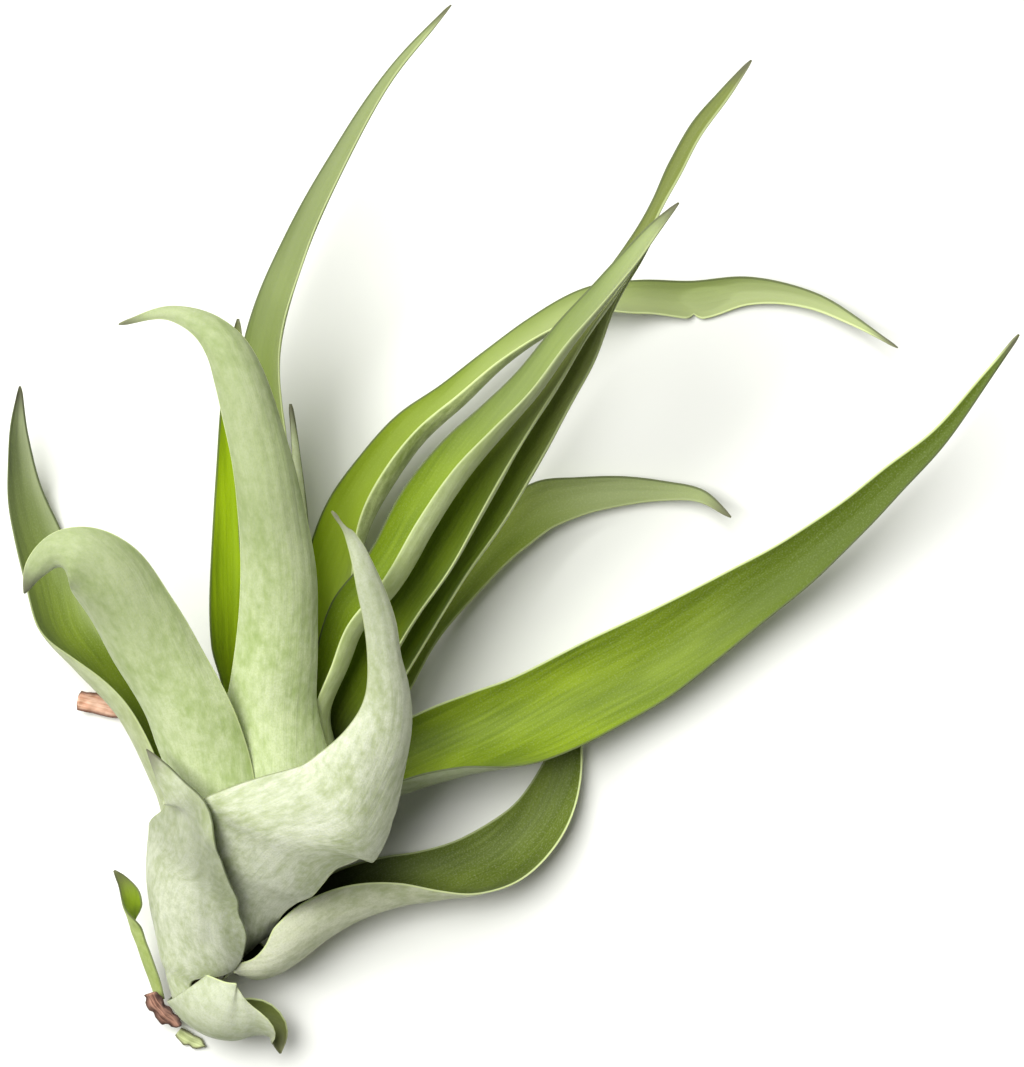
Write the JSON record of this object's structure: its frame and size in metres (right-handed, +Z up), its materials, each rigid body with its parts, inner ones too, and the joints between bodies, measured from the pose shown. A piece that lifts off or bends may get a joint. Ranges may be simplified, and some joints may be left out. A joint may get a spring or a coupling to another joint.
{
  "type": "air plant",
  "caption": "Rootless air plant as picked, lying on its side: long channelled leaves spread from nested sheaths round one short stem.",
  "frame": {"origin": "middle of the small flat spot on the underside of the leaf sheaths, on which the plant rests", "axes": "+Z up from the surface that the plant lies on, +Y from the foot of the stem towards the leaf tips, +X to the right"},
  "size_m": [0.1902, 0.1962, 0.0604],
  "materials": {
    "leaf_green": "satin, inner face of the leaf",
    "leaf_pale": "matte, outer face under a bloom of pale scales",
    "stem": "matte, fibrous",
    "dry_tan": "dry, matte",
    "dry_brown": "dry, matte",
    "dry_green": "dry, matte"
  },
  "bodies": {
    "root": {"stem": "stem", "leaf_01_foot_right": "leaf_pale", "leaf_02_foot_left": "leaf_pale", "leaf_03_left_sheath": "leaf_pale", "leaf_04_right_low": "leaf_green", "leaf_05_front_right": "leaf_pale", "leaf_06_far_left": "leaf_green", "leaf_07_curled_left": "leaf_pale", "leaf_08_long_right": "leaf_green", "leaf_09_back_left": "leaf_green", "leaf_10_front_centre": "leaf_pale", "leaf_11_arching_right": "leaf_green", "leaf_12_low_right": "leaf_green", "leaf_13_tall_back": "leaf_green", "leaf_14_bundle_back": "leaf_green", "leaf_15_bundle_long": "leaf_green", "leaf_16_bundle_front": "leaf_green", "leaf_17_innermost": "leaf_green", "dry_scrap_left": "dry_tan", "foot_scale_brown": "dry_brown", "foot_frayed_strip": "dry_green"}
  },
  "joints": []
}
